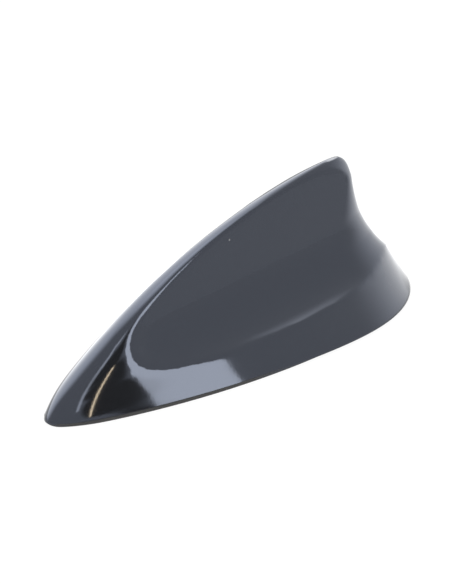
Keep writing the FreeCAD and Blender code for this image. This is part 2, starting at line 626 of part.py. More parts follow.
room = size("fin_board_gap")
wall = size("cover_wall")
fin_front = worth(FIN_FRONT)
fin_rear = worth(FIN_REAR)
fin_low = worth(BOARD_TOP)
fin_top = cavity_top - room
shoulder = ridge_height(fin_front - INSET_RUN * wall) - INSET_RISE * wall - room * 1.5
fin_corners = [(fin_front, fin_low), (fin_rear, fin_low), (fin_rear, fin_top),
               (ceiling_place(fin_top + room) + room, fin_top), (fin_front, shoulder)]
thick = size("fin_board_thick")
fin_panel = form("fin_panel", upright(fin_corners, -thick / 2, thick / 2))
fin_tabs = [block("fin_tab_%d" % i, "dims.fin_tab_length", "dims.fin_board_thick", BOARD_LOW,
                  BOARD_TOP + " + dims.fin_tab_length", tab + " + dims.fin_tab_length / 2")
            for i, tab in enumerate(FIN_TABS, start=1)]
fin_notch = block("fin_notch_way", "2 * (dims.pin_radius + dims.fin_notch)", "dims.fin_board_thick * 3", BOARD_LOW,
                  BOARD_TOP + " + dims.pin_tail + dims.fin_notch", SOCKET_X)
fin_board = cut("fin_board", fuse("fin_panel_tabs", [fin_panel] + fin_tabs), fin_notch)

edge_in = size("radiator_margin")
outline_wire = Part.makePolygon([FreeCAD.Vector(x, thick / 2, z) for x, z in fin_corners + fin_corners[:1]])
inner_wire = outline_wire.makeOffset2D(-edge_in, 2)
sheet = Part.Face(inner_wire).extrude(FreeCAD.Vector(0, size("radiator_thick"), 0))
radiator_low = fin_low + edge_in
radiator_tall = fin_top - edge_in - radiator_low
slots = []
for step, from_front in ((1, True), (2, False), (3, True)):
    z = radiator_low + radiator_tall * step / 4
    length = (fin_rear - fin_front) * 0.8
    x = fin_front - edge_in if from_front else fin_rear + edge_in - length
    slots.append(Part.makeBox(length, thick * 3, size("radiator_slot"), FreeCAD.Vector(x, -thick, z - size("radiator_slot") / 2)))
for slot in slots:
    sheet = sheet.cut(slot)
fin_radiator = form("fin_radiator", sheet)

# A coaxial socket, soldered to the main board and reaching down through the base.

MOUTH = "-dims.socket_depth"
flange = "dims.socket_width + 2 * dims.socket_flange"
shell = rounded_block("socket_shell", "dims.socket_width", "dims.socket_width", MOUTH, PLATE_TOP + " + dims.post_height / 2",
                      "dims.socket_round", SOCKET_X)
collar = block("socket_collar", flange, flange, PLATE_TOP, BOARD_LOW, SOCKET_X)
reach_end = MOUTH + " + dims.socket_reach"
bore = cylinder("socket_room", "dims.socket_bore", MOUTH + " - dims.slip_gap", reach_end, SOCKET_X)
keyway = block("socket_keyway", "2 * (dims.socket_bore + dims.socket_key)", "dims.socket_key * 2",
               MOUTH + " - dims.slip_gap", reach_end, SOCKET_X)
seat = cylinder("barrel_seat", "dims.barrel_radius + dims.press_gap", MOUTH, BOARD_LOW + " + dims.slip_gap", SOCKET_X)
socket_housing = cut("socket_housing", fuse("socket_solid", [shell, collar]), fuse("socket_rooms", [bore, keyway, seat]))
barrel_low = MOUTH + " + dims.barrel_recess"
tube = cylinder("tube", "dims.barrel_radius", barrel_low, BOARD_LOW, SOCKET_X)
tube_way = cylinder("tube_way", "dims.barrel_radius - dims.barrel_wall", barrel_low + " - dims.slip_gap",
                    BOARD_LOW + " + dims.slip_gap", SOCKET_X)
socket_barrel = cut("socket_barrel", tube, tube_way)
core = cylinder("core", "dims.barrel_radius - dims.barrel_wall - dims.press_gap", barrel_low + " + dims.insulator_recess",
                BOARD_LOW, SOCKET_X)
core_way = cylinder("core_way", "dims.pin_radius + dims.press_gap", barrel_low, BOARD_LOW + " + dims.slip_gap", SOCKET_X)
socket_insulator = cut("socket_insulator", core, core_way)
socket_pin = cylinder("socket_pin", "dims.pin_radius", barrel_low + " + dims.pin_recess", BOARD_TOP + " + dims.pin_tail", SOCKET_X)

nodes = {
    "fin_cover": fin_cover, "rim_seal": rim_seal, "base_plate": base_plate, "roof_spigot": roof_spigot, "earth_frame": earth_frame,
    "hole_seal": hole_seal, "cover_screws": cover_screws, "main_board": main_board, "patch_antenna": patch_antenna,
    "patch_feed_pin": patch_feed_pin, "shield_can": shield_can, "amplifier_chips": amplifier_chips,
    "fin_board": fin_board, "fin_radiator": fin_radiator, "socket_housing": socket_housing,
    "socket_barrel": socket_barrel, "socket_insulator": socket_insulator, "socket_pin": socket_pin,
}
for node, thing in nodes.items():
    thing.Label = node
doc.recompute()
for thing in doc.Objects:
    if "Invalid" in thing.State or "Error" in thing.State:
        raise RuntimeError("%s did not compute: %s" % (thing.Name, thing.State))
for node, thing in nodes.items():
    if thing.Shape.isNull() or not thing.Shape.isValid() or not thing.Shape.Solids:
        raise RuntimeError(node + " has no valid solid")
os.makedirs("parts", exist_ok=True)
for node, thing in nodes.items():
    thing.Shape.exportStep("parts/%s.step" % node)
    print("%-24s %2d solid(s) %10.1f mm3" % (node, len(thing.Shape.Solids), thing.Shape.Volume))
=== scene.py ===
# %% [markdown]
# # A shark-fin roof antenna
# The construction model is loaded first. It fixes every size and place, in metres, with the nose
# towards -X, the roof at height 0 and the fixing screw on the origin. This script only adds what the
# eye needs: a smooth painted skin, finishes with their grain and wear, a camera, and a white studio.

# %% Load the construction model
import math

import bpy
from mathutils import Matrix, Vector
from mathutils.kdtree import KDTree


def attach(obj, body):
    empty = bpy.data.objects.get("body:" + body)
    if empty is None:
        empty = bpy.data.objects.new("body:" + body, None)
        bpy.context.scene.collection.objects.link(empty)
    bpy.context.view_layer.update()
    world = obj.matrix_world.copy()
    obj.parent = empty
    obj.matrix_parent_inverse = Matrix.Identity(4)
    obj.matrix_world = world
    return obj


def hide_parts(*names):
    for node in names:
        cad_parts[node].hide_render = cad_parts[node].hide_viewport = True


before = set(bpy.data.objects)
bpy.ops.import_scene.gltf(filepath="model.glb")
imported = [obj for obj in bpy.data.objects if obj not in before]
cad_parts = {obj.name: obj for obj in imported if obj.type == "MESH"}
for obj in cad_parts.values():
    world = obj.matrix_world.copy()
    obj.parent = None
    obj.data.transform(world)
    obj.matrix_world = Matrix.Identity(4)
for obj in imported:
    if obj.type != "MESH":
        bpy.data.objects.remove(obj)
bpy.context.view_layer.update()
bpy.ops.object.select_all(action="DESELECT")
scene = bpy.context.scene
scene.view_settings.view_transform = "Standard"
print("nodes:", ", ".join(sorted(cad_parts)))

# %% [markdown]
# ## The camera
# The photograph was taken from the front left and from above with a longish lens. A camera could be
# moved by eye until the picture looks right, but then it is hard to say what is still wrong with the
# fin. So its place was found by laying the fin's outline over the photograph, and three things give it:
# the point it looks at, the way it looks, and how far off it stands. A small lens shift moves the fin
# to its place in the frame.

# %% Camera
IMAGE_LONG_SIDE = 584
AIM = Vector((-0.008, 0.0, 0.022))
AROUND = math.radians(42.88)
DOWN = math.radians(28.84)
DISTANCE = 0.6442
PIXELS_PER_METRE = 2596.4
SHIFT_IN_PIXELS = (-11.05, -6.45)
SENSOR_WIDTH = 36.0
look = Vector((math.sin(AROUND) * math.cos(DOWN), math.cos(AROUND) * math.cos(DOWN), -math.sin(DOWN)))
bpy.ops.object.camera_add(location=AIM - look * DISTANCE)
camera = bpy.context.object
camera.rotation_euler = look.to_track_quat("-Z", "Y").to_euler()
camera.data.sensor_width = SENSOR_WIDTH
camera.data.lens = PIXELS_PER_METRE * DISTANCE * SENSOR_WIDTH / IMAGE_LONG_SIDE
camera.data.shift_x, camera.data.shift_y = (pixels / IMAGE_LONG_SIDE for pixels in SHIFT_IN_PIXELS)
scene.camera = camera
print("camera lens %.1f mm, %.3f m away" % (camera.data.lens, DISTANCE))

# %% [markdown]
# ## Writing shaders as sums
# Node trees get hard to read when each node is placed by hand. A small class can stand for one socket:
# adding, multiplying or comparing two of them adds the Math node that does it. Every other node comes
# from one method, which sets the node up first and then fills or links its sockets.

# %% Wires and nodes
class Wire:
    """One output socket, with arithmetic that adds Math nodes."""

    def __init__(self, nodes, socket):
        self.nodes = nodes
        self.socket = socket

    def maths(self, operation, *others):
        sockets = dict(enumerate((self,) + others))
        return self.nodes.add("ShaderNodeMath", {"operation": operation}, sockets)

    def __add__(self, other):
        return self.maths("ADD", other)

    def __mul__(self, other):
        return self.maths("MULTIPLY", other)

    def __sub__(self, other):
        return self.maths("SUBTRACT", other)

    def __rsub__(self, other):
        return self.nodes.add("ShaderNodeMath", {"operation": "SUBTRACT"}, {0: other, 1: self})

    def __pow__(self, other):
        return self.maths("POWER", other)

    __radd__ = __add__
    __rmul__ = __mul__

    def over(self, edge):
        return self.maths("GREATER_THAN", edge)

    def clamped(self):
        return self.maths("MAXIMUM", 0.0).maths("MINIMUM", 1.0)


class Nodes:
    """A node tree that grows by one method."""

    def __init__(self, tree):
        self.tree = tree

    def add(self, kind, settings=None, sockets=None, output=0):
        node = self.tree.nodes.new(kind)
        for name, value in (settings or {}).items():
            setattr(node, name, value)
        for name, value in (sockets or {}).items():
            if isinstance(value, Wire):
                self.tree.links.new(value.socket, node.inputs[name])
            else:
                node.inputs[name].default_value = value
        return Wire(self, node.outputs[output])


print("shader helpers:", Wire.__name__, Nodes.__name__)

# %% [markdown]
# ## What a finish is made of
# Paint, rubber and metal all come from one Principled shader with other numbers, so a finish is a node
# tree around that shader. It knows a few things that every surface here needs: its place on the object,
# a noise, a blend of two colours, and a bump. Places are Object coordinates, so a grain keeps its real
# size.

# %% Finish
MIX_SHARE, MIX_FIRST_COLOUR, MIX_SECOND_COLOUR, MIXED_COLOUR = 0, 6, 7, 2


class Finish(Nodes):
    """A material with one Principled shader."""

    def __init__(self, name, colour, roughness, **fixed):
        self.material = bpy.data.materials.new(name)
        self.material.use_nodes = True
        super().__init__(self.material.node_tree)
        self.shader = self.tree.nodes["Principled BSDF"]
        self.material.diffuse_color = (*colour, 1.0)
        self.shader.inputs["Base Color"].default_value = (*colour, 1.0)
        self.shader.inputs["Roughness"].default_value = roughness
        for socket, value in fixed.items():
            self.shader.inputs[socket.replace("_", " ")].default_value = value

    def feed(self, socket, wire):
        self.tree.links.new(wire.socket, self.shader.inputs[socket])

    def place(self):
        return self.add("ShaderNodeTexCoord", output="Object")

    def noise(self, scale, detail=3.0, roughness=0.55, place=None):
        sockets = {"Vector": place or self.place(), "Scale": scale}
        sockets.update({"Detail": detail, "Roughness": roughness})
        return self.add("ShaderNodeTexNoise", None, sockets)

    def cells(self, scale):
        sockets = {"Vector": self.place(), "Scale": scale}
        return self.add("ShaderNodeTexVoronoi", {"feature": "F1"}, sockets)

    def blend(self, share, first, second):
        sockets = {MIX_SHARE: share, MIX_FIRST_COLOUR: first, MIX_SECOND_COLOUR: second}
        return self.add("ShaderNodeMix", {"data_type": "RGBA"}, sockets, MIXED_COLOUR)

    def bump(self, height, strength, distance, normal=None):
        sockets = {"Height": height, "Strength": strength, "Distance": distance}
        if normal:
            sockets["Normal"] = normal
        self.feed("Normal", self.add("ShaderNodeBump", None, sockets))


print("a finish can:", ", ".join(name for name in vars(Finish) if not name.startswith("_")))

# %% [markdown]
# ## The paint
# Black car paint is a dark base under a clear, hard lacquer, and nearly all that is seen is the
# lacquer's reflection. So the colour is almost black, with a trace of blue, and the shine comes from a
# low roughness. A moulded edge is never sharp: the Bevel node rounds the light over the edges of the
# hollow by about a millimetre. Wipe marks, a faint waviness from spraying and a few specks of dust keep
# it from looking like glass. Dust is the middle of a few cells of a cell pattern, which gives small
# dots far apart.

# %% Paint finish
PAINT_COLOUR = (0.0095, 0.0102, 0.0118)
DUST_COLOUR = (0.35, 0.35, 0.34, 1.0)
LACQUER_TINT = (0.83, 0.93, 1.19, 1.0)
SHINIEST, WIPE_DULLING = 0.04, 0.05
DOT_SIZE, DUSTY_FROM, DUST_COVER = 0.035, 0.62, 0.35
SPRAY_STRENGTH, SPRAY_DEPTH = 0.02, 0.0002
EDGE_ROUND = 0.001
paint = Finish("gloss_paint", PAINT_COLOUR, 0.06, IOR=1.6, Specular_Tint=LACQUER_TINT)
speck = (DOT_SIZE - paint.cells(95.0)).over(0.0) * paint.noise(45.0).over(DUSTY_FROM)
paint.feed("Base Color", paint.blend(speck * DUST_COVER, (*PAINT_COLOUR, 1.0), DUST_COLOUR))
wipes = paint.noise(60.0, 4.0)
paint.feed("Roughness", SHINIEST + wipes * WIPE_DULLING)
soft_edge = paint.add("ShaderNodeBevel", {"samples": 8}, {"Radius": EDGE_ROUND})
paint.bump(paint.noise(900.0, 2.0), SPRAY_STRENGTH, SPRAY_DEPTH, soft_edge)
print("paint nodes:", len(paint.tree.nodes))

# %% [markdown]
# ## Finishes of the other pieces
# Under the paint are rubber, cast zinc, sheet steel and the parts of a small radio. Each could have a
# node tree of its own, but most of them differ only in colour, shine and grain, so one helper gives all
# of these: one noise for the colour and the shine, a finer one for the bump. Metals get their colour
# from the reflection, with Metallic at 1. Brushed sheet has its grain drawn out along one axis by a
# Mapping node.

# %% Grained finishes
FINER, GRAIN_DEPTH = 7, 0.0002


def grained(name, light, deep, roughness, spread, scale, relief=0.0, metal=0.0, stretch=None):
    """A finish that varies between two colours; stretch draws the grain out along an axis."""
    finish = Finish(name, light, roughness, Metallic=metal)
    place = finish.place()
    if stretch:
        place = finish.add("ShaderNodeMapping", None, {"Vector": place, "Scale": stretch})
    grain = finish.noise(scale, 4.0, 0.6, place)
    finish.feed("Base Color", finish.blend(grain, (*deep, 1.0), (*light, 1.0)))
    finish.feed("Roughness", roughness - spread / 2 + grain * spread)
    if relief:
        finish.bump(finish.noise(scale * FINER, 3.0, 0.6, place), relief, GRAIN_DEPTH)
    return finish


GRAINS = {
    "rubber": dict(light=(0.034, 0.034, 0.035), deep=(0.016, 0.016, 0.017), roughness=0.68, spread=0.24,
                   scale=260, relief=0.35),
    "spring_steel": dict(light=(0.66, 0.64, 0.60), deep=(0.50, 0.48, 0.45), roughness=0.32, spread=0.18,
                         scale=420, relief=0.08, metal=1.0, stretch=(1.0, 14.0, 1.0)),
    "screw_steel": dict(light=(0.58, 0.58, 0.57), deep=(0.42, 0.42, 0.42), roughness=0.34, spread=0.2,
                        scale=900, relief=0.12, metal=1.0),
    "ceramic": dict(light=(0.66, 0.60, 0.50), deep=(0.52, 0.46, 0.38), roughness=0.62, spread=0.16,
                    scale=1100, relief=0.3),
    "tin": dict(light=(0.74, 0.74, 0.71), deep=(0.60, 0.60, 0.58), roughness=0.30, spread=0.2,
                scale=240, relief=0.06, metal=1.0, stretch=(9.0, 1.0, 1.0)),
    "chip": dict(light=(0.030, 0.030, 0.032), deep=(0.018, 0.018, 0.019), roughness=0.58, spread=0.16,
                 scale=1600, relief=0.3),
    "copper": dict(light=(0.80, 0.46, 0.28), deep=(0.62, 0.32, 0.18), roughness=0.30, spread=0.2,
                   scale=380, relief=0.08, metal=1.0),
    "socket_plastic": dict(light=(0.040, 0.041, 0.044), deep=(0.026, 0.027, 0.029), roughness=0.46,
                           spread=0.18, scale=700, relief=0.25),
    "gold": dict(light=(0.86, 0.64, 0.28), deep=(0.74, 0.52, 0.20), roughness=0.22, spread=0.14,
                 scale=800, relief=0.06, metal=1.0),
    "insulator": dict(light=(0.80, 0.79, 0.76), deep=(0.70, 0.69, 0.65), roughness=0.44, spread=0.16,
                      scale=600, relief=0.15),
}
finishes = {name: grained(name, **grain) for name, grain in GRAINS.items()}
print("finishes:", ", ".join(sorted(finishes)))

# %% [markdown]
# ## Cast zinc with a thread
# The base and the spigot are cast, so their skin is slightly pitted, and its colour and shine vary with a
# grain. The fixing hole is tapped. A modelled thread would cost thousands of faces deep in a hole, where
# hardly anyone looks, so it is drawn by the bump: a wave that climbs with the turn round the hole, kept
# to the few millimetres round its axis.

# %% Casting
THREAD_RADIUS, THREAD_PITCH, THREAD_DEPTH = 0.0028, 0.001, 0.0003
PIT_DEPTH = 0.00005
casting = grained("casting", light=(0.60, 0.61, 0.62), deep=(0.44, 0.45, 0.46), roughness=0.44,
                  spread=0.22, scale=520, metal=1.0)
across, aside, upward = (casting.add("ShaderNodeSeparateXYZ", None, {0: casting.place()}, axis)
                         for axis in "XYZ")
from_axis = (across * across + aside * aside) ** 0.5
in_hole = (THREAD_RADIUS - from_axis).over(0.0)
climb = upward * (2 * math.pi / THREAD_PITCH) - aside.maths("ARCTAN2", across)
pits = casting.noise(2600, 3.0)
casting.bump(pits * PIT_DEPTH + in_hole * climb.maths("SINE") * THREAD_DEPTH, 1.0, 1.0)
finishes["casting"] = casting
print("casting nodes:", len(casting.tree.nodes))

# %% [markdown]
# ## Printed circuit board
# The boards are green lacquer over copper tracks, which show as paler lines. Real tracks could be
# modelled as thin strips, but under the cover a pattern is enough. The joints of a brick pattern make
# right-angled tracks, and the middles of a cell pattern make the small round pads of solder.

# %% Board
LACQUER_GREEN = (0.010, 0.105, 0.040)
TRACK_GREEN = (0.035, 0.20, 0.085, 1.0)
SOLDER = (0.62, 0.60, 0.54, 1.0)
TRACK_WIDTH, TRACK_COVER, TRACK_DEPTH = 0.035, 0.7, 0.00004
PAD_SIZE, PAD_COVER, PAD_METAL, PAD_DEPTH = 0.16, 0.85, 0.8, 0.00006
board = Finish("board", LACQUER_GREEN, 0.36)
tracks = board.add("ShaderNodeTexBrick", {"offset": 0.37, "squash": 1.6},
                   {"Vector": board.place(), "Scale": 120.0, "Mortar Size": TRACK_WIDTH}, "Fac")
pads = (PAD_SIZE - board.cells(230.0)).over(0.0)
green = board.blend(tracks * TRACK_COVER, (*LACQUER_GREEN, 1.0), TRACK_GREEN)
board.feed("Base Color", board.blend(pads * PAD_COVER, green, SOLDER))
board.feed("Metallic", pads * PAD_METAL)
board.feed("Roughness", 0.32 + board.noise(500.0) * 0.12)
board.bump(tracks * TRACK_DEPTH + pads * PAD_DEPTH, 0.8, 1.0)
finishes["board"] = board
print("board nodes:", len(board.tree.nodes))

# %% [markdown]
# ## Dressing what stays as it is
# Seals, base, boards and socket already have their real shape in the construction model. They could be
# modelled again, but only the finish was missing, so each keeps its mesh and gets a new material in the
# slots that it has.

# %% Dress the pieces that stay as they are
WEARS = {
    "rim_seal": "rubber",
    "hole_seal": "rubber",
    "base_plate": "casting",
    "roof_spigot": "casting",
    "earth_frame": "spring_steel",
    "cover_screws": "screw_steel",
    "main_board": "board",
    "fin_board": "board",
    "patch_antenna": "ceramic",
    "patch_feed_pin": "gold",
    "shield_can": "tin",
    "amplifier_chips": "chip",
    "fin_radiator": "copper",
    "socket_housing": "socket_plastic",
    "socket_barrel": "gold",
    "socket_insulator": "insulator",
    "socket_pin": "gold",
}
for node, worn in WEARS.items():
    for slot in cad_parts[node].material_slots:
        slot.material = finishes[worn].material
print("dressed", len(WEARS), "pieces")

# %% [markdown]
# ## The fin's two forms
# The real cover is moulded, and its shape reads as two simple forms that meet. One is a long hull, like
# a boat turned over, whose plan is an oval with its widest place to the rear. The other is a blade with
# flat flanks that run out in a round cove. What both share is the fin, so the edge of the hollow comes
# by itself, which would be hard to draw by hand. The sizes follow the construction model and are in
# millimetres.

# %% Sizes of the fin
NOSE, TAIL = 101.0, 80.0  # from the fixing screw, to the front and to the rear
HALF_WIDTH, TOP, LIP = 34.3, 60.2, 0.6  # the lip is where the cover's rim stands on the seal
TAIL_RAKE = 32.6  # how far the tip stands ahead of the tail
TIP_X = TAIL - TAIL_RAKE
TIP_FLAT, TIP_ROUND, TIP_PROUD = 1.0, 7.0, 3.4  # how the tip is blunted, rounded behind and pushed back
BLADE_HALF = 3.6  # half the blade's thickness at the top
DRAFT, TOE, PITCH = math.radians(12.1), math.radians(2.4), math.radians(3.55)
COVE_RADIUS, COVE_HEIGHT = 24.2, 35.2
TRAIL_TOP, TRAIL_MIDDLE, TRAIL_FOOT = TIP_X + 2.8, TIP_X + 10.8, TAIL + 5.0
MM = 0.001
print("the fin is %.0f mm long, %.1f mm wide and %.1f mm high" % (NOSE + TAIL, 2 * HALF_WIDTH, TOP))

# %% [markdown]
# ## Lines of the hull
# Three lines give the hull at each height: the ridge in front, the tail behind, and the half width
# between them. They could be splines through many points. A power of the height needs only one or two
# numbers and has no wobbles, so each line is a power, and three soft swells bring the ridge to the
# photograph's line.

# %% Lines of the hull
RIDGE_START, RIDGE_END = 1.3, 0.58
RIDGE_SWELLS = ((0.14, 0.09, 0.8), (0.38, 0.12, -0.7), (0.74, 0.16, 1.2))  # height, spread, mm forward
TAIL_BEND, PROUD_BEND, TIP_BEND = 0.955, 4, 16
WIDTH_START, WIDTH_END = 0.837, 0.685
LEAN_LOW, LEAN_HIGH = 0.8, 0.25  # how much wider the plan is to the rear
FULL_QUARTERS = 0.26  # how much the rear quarters of the foot swell


def hull_point(share, turn):
    """A point of the hull: its height as a share of the whole, and the turn round its oval plan."""
    run = NOSE + TIP_X - TIP_FLAT
    front = run * (1 - (1 - share ** RIDGE_START) ** RIDGE_END) - NOSE
    for height, spread, forward in RIDGE_SWELLS:
        front -= forward * math.exp(-((share - height) / spread) ** 2)
    rear = TAIL - TAIL_RAKE * share ** TAIL_BEND + TIP_PROUD * share ** PROUD_BEND
    rear -= TIP_ROUND * (1 - math.sqrt(1 - share ** TIP_BEND))
    half = HALF_WIDTH * (1 - share ** WIDTH_START) ** WIDTH_END
    lean = (LEAN_LOW * (1 - share) + LEAN_HIGH * share) / 2
    widest = (1 - math.sqrt(1 + 8 * lean ** 2)) / (4 * lean)
    full = math.sqrt(1 - widest ** 2) * (1 - lean * widest)
    x = front + (rear - front) * (1 + math.cos(turn)) / 2
    y = half * math.sin(turn) * (1 + lean * math.cos(turn)) / full
    y *= 1 + FULL_QUARTERS * (max(math.cos(turn), 0.0) * math.sin(turn)) ** 2 * (1 - share)
    return Vector((x, y, LIP + (TOP - LIP) * share)) * MM


print("hull at half height:", hull_point(0.5, math.pi / 2))

# %% [markdown]
# ## The hull
# A cylinder with many columns is the start. Its upright edges are subdivided into rings, and then every
# point is moved to its place on the hull. The rings crowd towards the top, because the ridge bends
# fastest there. They end just below the top, where the plan would shrink to a line.

# %% Hull
COLUMNS, RINGS = 232, 90
CROWDING, HIGHEST = 1.7, 0.9965


def edit(piece, kind="VERT"):
    """Edit mode on one piece alone, in the given selection mode, with nothing selected inside."""
    bpy.ops.object.select_all(action="DESELECT")
    piece.select_set(True)
    bpy.context.view_layer.objects.active = piece
    bpy.ops.object.mode_set(mode="EDIT")
    bpy.ops.mesh.select_mode(type=kind)
    bpy.ops.mesh.select_all(action="DESELECT")


bpy.ops.object.select_all(action="DESELECT")
bpy.ops.mesh.primitive_cylinder_add(vertices=COLUMNS, radius=1.0, depth=1.0, end_fill_type="NGON")
cover = bpy.context.object
cover.name = "painted_cover"
edit(cover, "EDGE")
bpy.ops.object.mode_set(mode="OBJECT")
for edge in cover.data.edges:
    low, high = (cover.data.vertices[i].co for i in edge.vertices)
    edge.select = low.z != high.z
bpy.ops.object.mode_set(mode="EDIT")
bpy.ops.mesh.subdivide(number_cuts=RINGS - 2)
bpy.ops.object.mode_set(mode="OBJECT")
cylinder_top = max(vertex.co.z for vertex in cover.data.vertices)
for vertex in cover.data.vertices:
    below_top = cylinder_top - vertex.co.z
    share = min(1 - below_top ** CROWDING, HIGHEST)
    vertex.co = hull_point(share, math.atan2(vertex.co.y, vertex.co.x))
print("hull:", len(cover.data.vertices), "points")

# %% [markdown]
# ## The blade's profile
# Seen from the front, half of the blade is a line: down the drafted flank, round the cove, out over a
# ledge, and down past the foot. A curve object could be swept along the car, but the flanks aren't
# parallel and the trailing edge is round, so the line is worked out here and laid round the plan in the
# next steps.

# %% Profile of the blade
FLANK_ENDS, COVE_ENDS, LEDGE_ENDS = 0.3, 0.9, 0.95
ABOVE_TOP, LEDGE_WIDTH, LEDGE_FALL, DROP = 2.0, 14.0, 2.0, 30.0
slant = math.tan(DRAFT)
cove_start = Vector((BLADE_HALF + slant * (TOP - COVE_HEIGHT), COVE_HEIGHT))
cove_middle = cove_start + COVE_RADIUS * Vector((math.cos(DRAFT), math.sin(DRAFT)))


def share_of_way(value, start, end):
    """How far a value has come on its way from a start to an end, from 0 to 1."""
    return (value - start) / (end - start)


def profile(along):
    """Width and height of the blade's profile, from 0 at the top to 1 below the foot."""
    if along < FLANK_ENDS:
        rise = (TOP + ABOVE_TOP - COVE_HEIGHT) * (1 - along / FLANK_ENDS)
        return Vector((cove_start.x - slant * rise, cove_start.y + rise))
    if along < COVE_ENDS:
        turn = math.pi + DRAFT + (math.pi / 2 - DRAFT) * share_of_way(along, FLANK_ENDS, COVE_ENDS)
        return cove_middle + COVE_RADIUS * Vector((math.cos(turn), math.sin(turn)))
    if along < LEDGE_ENDS:
        out = share_of_way(along, COVE_ENDS, LEDGE_ENDS)
        return cove_middle + Vector((LEDGE_WIDTH * out, -COVE_RADIUS - LEDGE_FALL * out))
    down = share_of_way(along, LEDGE_ENDS, 1.0)
    return cove_middle + Vector((LEDGE_WIDTH, -COVE_RADIUS - LEDGE_FALL - DROP * down))


print("the cove starts %.1f mm from the middle, at height %.1f mm" % tuple(cove_start))

# %% [markdown]
# ## The trailing edge
# Seen from the side, the trailing edge of the real fin is one clean arc, leaning forward. Three places
# on it were read from the photograph, at the foot, halfway and at the top, and three places fix a
# circle.

# %% Trailing edge
ARC_MARGIN = 8.0  # the arc is followed this far past the foot and the top


def arc_through(a, b, c):
    """The middle and the radius of the circle through three places."""
    four_areas = 2 * (a.x * (b.y - c.y) + b.x * (c.y - a.y) + c.x * (a.y - b.y))
    aa, bb, cc = (place.length_squared for place in (a, b, c))
    middle = Vector(((aa * (b.y - c.y) + bb * (c.y - a.y) + cc * (a.y - b.y)) / four_areas,
                     (aa * (c.x - b.x) + bb * (a.x - c.x) + cc * (b.x - a.x)) / four_areas))
    return middle, (a - middle).length


arc_middle, arc_radius = arc_through(Vector((TRAIL_FOOT, 0)), Vector((TRAIL_MIDDLE, TOP / 2)),
                                     Vector((TRAIL_TOP, TOP)))


def trailing(z):
    """Where the trailing edge is at a height, and how fast it moves to the rear going up."""
    side = min(max(z, -ARC_MARGIN), TOP + ARC_MARGIN) - arc_middle.y
    reach = math.sqrt(arc_radius ** 2 - side ** 2)
    return arc_middle.x - reach, side / reach


print("trailing edge: an arc of radius %.1f mm" % arc_radius)

# %% [markdown]
# ## Round the blade's plan
# Seen from above, half of the blade goes out from the middle at the front, along the flank, round the
# trailing edge and back to the middle. The flanks aren't parallel: they toe in and pitch a little, so
# each point of the profile is turned and then slid along the car. At the front the flank bows out,
# which gives the hollow its rounded end. The round of the trailing edge grows with the thickness, so it
# stays smooth from tip to foot.

# %% Plan of the blade
FRONT_ENDS, FLANK_STOPS, ROUND_ENDS = 0.04, 0.6, 0.9
BLADE_FRONT = -NOSE - 10
HOLLOW_FROM, HOLLOW_FLATNESS = -58.0, 60.0
THINNEST = 0.4
ROUND_TOP, ROUND_LOW = 0.66, 0.92  # radius of the trailing edge, as a share of the half thickness
STRETCH_TOP, STRETCH_LOW, STRETCH_LIMIT = 1.0, 1.8, 12.0  # how far the round is drawn out along the car
CORNER_TRIES = 4
turned = Matrix.Rotation(TOE, 3, "Z") @ Matrix.Rotation(-PITCH, 3, "Y")
along_flank = turned @ Vector((1.0, 0.0, 0.0))


def flank(start, x):
    """A point of the flank at a place along the car, slid there from a turned point of the profile."""
    point = start + along_flank * ((x - TIP_X - start.x) / along_flank.x)
    bow = max(HOLLOW_FROM - x, 0.0) ** 2 / HOLLOW_FLATNESS
    return Vector((x, max(point.y + bow, THINNEST), point.z))


def trailing_corner(start):
    """Where the flank meets the round of the trailing edge, found by coming nearer a few times."""
    corner = flank(start, TIP_X)
    for _ in range(CORNER_TRIES):
        rear, slope = trailing(corner.z)
        height = min(max(share_of_way(corner.z, COVE_HEIGHT, TOP), 0.0), 1.0)
        radius = corner.y * (ROUND_LOW + (ROUND_TOP - ROUND_LOW) * height)
        stretch = min(radius, STRETCH_LIMIT) * math.sqrt(1 + slope ** 2)
        stretch *= STRETCH_LOW + (STRETCH_TOP - STRETCH_LOW) * height
        corner = flank(start, rear - stretch)
    return corner, rear, radius, stretch


def blade_point(around, along):
    """A point of the blade's right half: around its plan from 0 to 1, and along its profile."""
    start = turned @ Vector((0.0, *profile(along)))
    corner, rear, radius, stretch = trailing_corner(start)
    if around < FRONT_ENDS:
        point = flank(start, BLADE_FRONT)
        return Vector((BLADE_FRONT, point.y * around / FRONT_ENDS, point.z)) * MM
    if around < FLANK_STOPS:
        share = share_of_way(around, FRONT_ENDS, FLANK_STOPS)
        return flank(start, BLADE_FRONT + (corner.x - BLADE_FRONT) * share) * MM
    if around < ROUND_ENDS:
        turn = math.pi / 2 * share_of_way(around, FLANK_STOPS, ROUND_ENDS)
        point = flank(start, corner.x + stretch * math.sin(turn))
        return Vector((point.x, point.y - radius * (1 - math.cos(turn)), point.z)) * MM
    point = flank(start, rear)
    return Vector((rear, (point.y - radius) * share_of_way(around, 1.0, ROUND_ENDS), point.z)) * MM


print("blade at the front, halfway down:", blade_point(FRONT_ENDS, 0.5))

# %% [markdown]
# ## The blade
# Half of the blade is one sheet of squares: one side of the sheet runs round the plan, the other along
# the profile. A Mirror modifier makes the other half, so both flanks are the same. Then the doubles are
# merged, the open top and bottom are filled, and all faces are turned outwards, because a Boolean needs
# a closed body.

